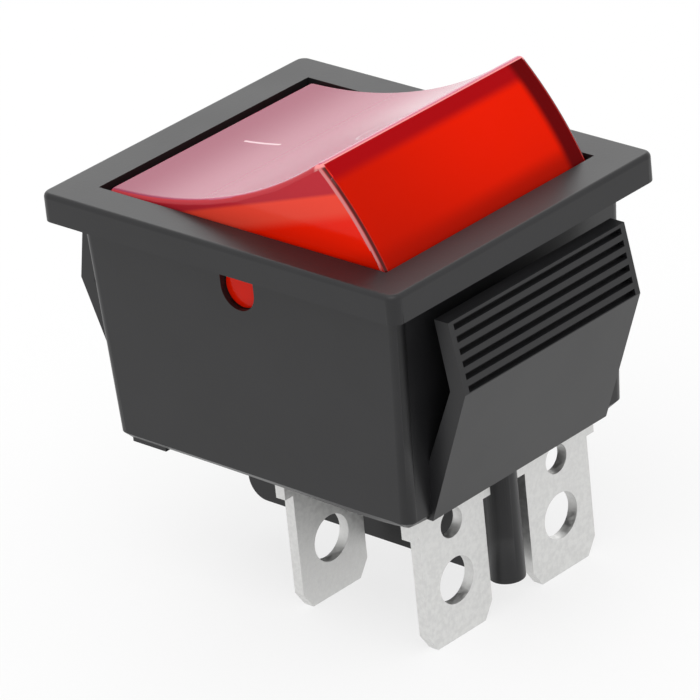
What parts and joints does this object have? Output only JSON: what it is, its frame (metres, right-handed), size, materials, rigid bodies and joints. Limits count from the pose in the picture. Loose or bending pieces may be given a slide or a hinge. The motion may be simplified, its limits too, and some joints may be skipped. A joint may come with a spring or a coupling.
{
  "type": "panel rocker switch",
  "caption": "Illuminated double-pole rocker switch that snaps into a rectangular panel cut-out, with push-on tabs.",
  "frame": {"origin": "centre of the bezel's underside, where it meets the panel", "axes": "+Z out of the panel towards the user, +X along the bezel in the rocking direction, +Y along the pivot"},
  "size_m": [0.0338, 0.0256, 0.0346],
  "materials": {
    "housing_black": "fine eroded black polyamide",
    "lens_red": "polished translucent red polycarbonate",
    "terminal_tin": "matte tin plate on brass",
    "contact_silver": "silver contact rivet",
    "blade_brass": "stamped brass",
    "plunger_brass": "turned brass",
    "spring_steel": "drawn steel wire",
    "lead_wire": "tinned wire",
    "lamp_glass": "clear glass",
    "resistor_body": "lacquered ceramic"
  },
  "bodies": {
    "housing": {"housing": "housing_black", "terminal_common_front": "terminal_tin", "terminal_common_rear": "terminal_tin", "terminal_load_front": "terminal_tin", "terminal_load_rear": "terminal_tin", "fixed_contact_front": "contact_silver", "fixed_contact_rear": "contact_silver"},
    "rocker": {"rocker_lens": "lens_red", "neon_lamp": "lamp_glass", "lamp_resistor": "resistor_body", "lamp_lead_front": "lead_wire", "lamp_lead_rear": "lead_wire", "plunger_spring_front": "spring_steel", "plunger_spring_rear": "spring_steel"},
    "plunger_front": {"plunger_front": "plunger_brass"},
    "blade_front": {"contact_blade_front": "blade_brass", "moving_contact_front": "contact_silver"},
    "plunger_rear": {"plunger_rear": "plunger_brass"},
    "blade_rear": {"contact_blade_rear": "blade_brass", "moving_contact_rear": "contact_silver"}
  },
  "joints": [
    {"name": "rocker_tilt", "type": "hinge", "parent": "housing", "child": "rocker", "pos_m": [0, 0, -0.002], "axis": [0, 1, 0], "range_deg": [0, 36]},
    {"name": "plunger_front_slide", "type": "slide", "parent": "rocker", "child": "plunger_front", "axis": [-0.309, 0, 0.9511], "range_m": [0, 0.0008], "stiffness_N_per_m": 300, "springref_m": -0.0005, "deforming": ["plunger_spring_front"]},
    {"name": "blade_front_rock", "type": "hinge", "parent": "housing", "child": "blade_front", "pos_m": [0, -0.00524, -0.01172], "axis": [0, 1, 0], "range_deg": [-20, 0]},
    {"name": "plunger_rear_slide", "type": "slide", "parent": "rocker", "child": "plunger_rear", "axis": [-0.309, 0, 0.9511], "range_m": [0, 0.0008], "stiffness_N_per_m": 300, "springref_m": -0.0005, "deforming": ["plunger_spring_rear"]},
    {"name": "blade_rear_rock", "type": "hinge", "parent": "housing", "child": "blade_rear", "pos_m": [0, 0.00524, -0.01172], "axis": [0, 1, 0], "range_deg": [-20, 0]}
  ],
  "couplings": [
    {"joint": "blade_front_rock", "follows": "rocker_tilt", "ratio": -0.55556},
    {"joint": "blade_rear_rock", "follows": "rocker_tilt", "ratio": -0.55556}
  ]
}
